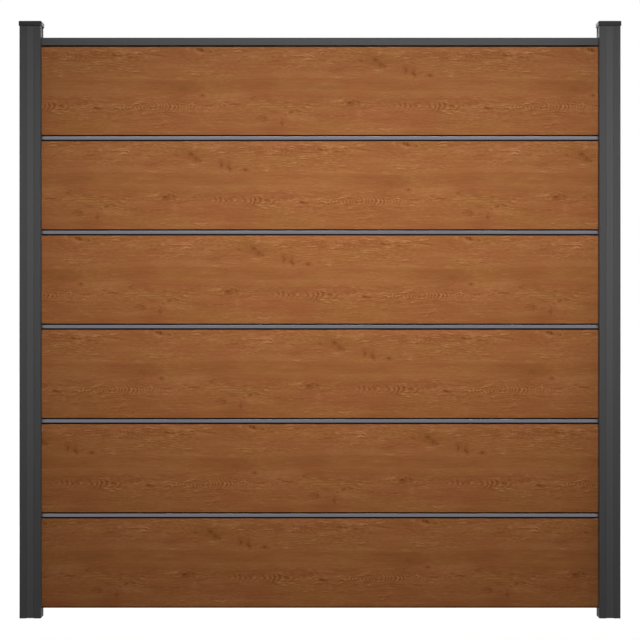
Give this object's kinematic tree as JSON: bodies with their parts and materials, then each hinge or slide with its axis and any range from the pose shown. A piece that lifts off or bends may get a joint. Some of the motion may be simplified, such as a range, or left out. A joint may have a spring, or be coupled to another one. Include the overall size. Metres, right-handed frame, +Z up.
{
  "type": "fence panel",
  "caption": "Square privacy fence panel: hollow wood-look boards stacked with grey joint strips between slotted aluminium posts, with a top rail, channel covers and flat post caps.",
  "frame": {"origin": "on the ground, midway between the posts and midway through their depth", "axes": "+X along the fence, to the right seen from the front; -Y is the front; +Z up"},
  "size_m": [1.917, 0.073, 1.9],
  "materials": {
    "post_coat": "anthracite powder coat, satin, fine texture",
    "cover_coat": "anthracite powder coat, satin",
    "rail_coat": "anthracite powder coat, satin",
    "cap_plastic": "moulded anthracite plastic, fine texture",
    "board_decor": "golden-brown printed wood grain, satin foil",
    "strip_aluminium": "grey anodised, drawn",
    "gasket_rubber": "matt black",
    "block_plastic": "matt black",
    "zinc_steel": "zinc plated"
  },
  "bodies": {
    "root": {"left_post": "post_coat", "right_post": "post_coat", "left_post_cap": "cap_plastic", "right_post_cap": "cap_plastic", "left_front_cover": "cover_coat", "left_rear_cover": "cover_coat", "right_front_cover": "cover_coat", "right_rear_cover": "cover_coat", "board_1": "board_decor", "board_2": "board_decor", "board_3": "board_decor", "board_4": "board_decor", "board_5": "board_decor", "board_6": "board_decor", "joint_strip_1": "strip_aluminium", "joint_strip_2": "strip_aluminium", "joint_strip_3": "strip_aluminium", "joint_strip_4": "strip_aluminium", "joint_strip_5": "strip_aluminium", "top_rail": "rail_coat", "left_front_gasket": "gasket_rubber", "left_rear_gasket": "gasket_rubber", "right_front_gasket": "gasket_rubber", "right_rear_gasket": "gasket_rubber", "left_support_block": "block_plastic", "right_support_block": "block_plastic", "left_rail_bracket": "zinc_steel", "right_rail_bracket": "zinc_steel", "bracket_screws": "zinc_steel"}
  },
  "joints": []
}
